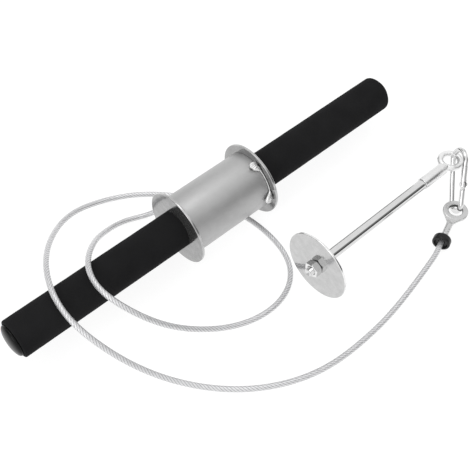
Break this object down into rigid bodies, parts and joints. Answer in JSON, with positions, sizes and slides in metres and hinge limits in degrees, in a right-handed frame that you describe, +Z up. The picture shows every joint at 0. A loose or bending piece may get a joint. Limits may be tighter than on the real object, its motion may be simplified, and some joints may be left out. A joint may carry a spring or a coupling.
{
  "type": "forearm trainer",
  "caption": "Forearm trainer: round bar with foam grips and a flanged drum, whose coated cable ends in an eye, a snap hook and a loading pin with a disc for weights.",
  "frame": {"origin": "on the floor, under the middle of the object's box measured without the cable, its eye terminal and its stopper", "axes": "+X along the bar towards the right grip, +Z up, and -Y towards the side where the loading pin lies"},
  "size_m": [0.4328, 0.2728, 0.07],
  "materials": {
    "grip_foam": "matte black closed-cell foam with a fine skin",
    "plug_plastic": "glossy black moulded plastic",
    "bar_steel": "plain drawn steel tube",
    "drum_steel": "satin plated steel with faint lengthwise bands",
    "flange_steel": "bright plated steel plate",
    "weld_metal": "bright plated weld bead",
    "cable_coat": "steel strands that show through a clear plastic coat",
    "black_rubber": "matte black rubber",
    "terminal_steel": "bright plated swaged steel",
    "hook_chrome": "polished plating",
    "inner_steel": "plain steel",
    "pin_steel": "bright plated steel",
    "disc_steel": "polished plated plate",
    "nut_chrome": "bright plated nut"
  },
  "bodies": {
    "roller": {"bar_tube": "bar_steel", "left_foam_grip": "grip_foam", "right_foam_grip": "grip_foam", "left_end_plug": "plug_plastic", "right_end_plug": "plug_plastic", "drum_tube": "drum_steel", "left_flange": "flange_steel", "right_flange": "flange_steel", "left_hub_ring": "drum_steel", "right_hub_ring": "drum_steel", "left_weld_bead": "weld_metal", "right_weld_bead": "weld_metal", "cable_grommet": "black_rubber", "cable_stop_ferrule": "inner_steel", "cable": "cable_coat", "rubber_stopper": "black_rubber", "eye_terminal": "terminal_steel"},
    "hook": {"snap_hook_body": "hook_chrome", "gate_rivet": "hook_chrome"},
    "gate": {"snap_hook_gate": "hook_chrome", "gate_plunger": "inner_steel", "gate_spring": "inner_steel"},
    "loading_pin": {"pin_eye_ring": "pin_steel", "pin_sleeve": "pin_steel", "pin_rod": "pin_steel", "shoulder_collar": "pin_steel", "base_disc": "disc_steel", "hex_nut": "nut_chrome"}
  },
  "joints": [
    {"name": "hook_swing", "type": "hinge", "parent": "roller", "child": "hook", "pos_m": [0.17756, -0.07725, 0.0086], "axis": [-0.8554, 0.518, 0], "range_deg": [0, 26]},
    {"name": "gate_pivot", "type": "hinge", "parent": "hook", "child": "gate", "pos_m": [0.18697, -0.07711, 0.02892], "axis": [-0.835, 0.493, 0.2444], "range_deg": [0, 12], "stiffness_Nm_per_rad": 0.02, "springref_deg": -28.65},
    {"name": "pin_tilt", "type": "hinge", "parent": "hook", "child": "loading_pin", "pos_m": [0.20263, -0.05194, 0.03165], "axis": [0, 1, 0], "range_deg": [0, 30]}
  ]
}
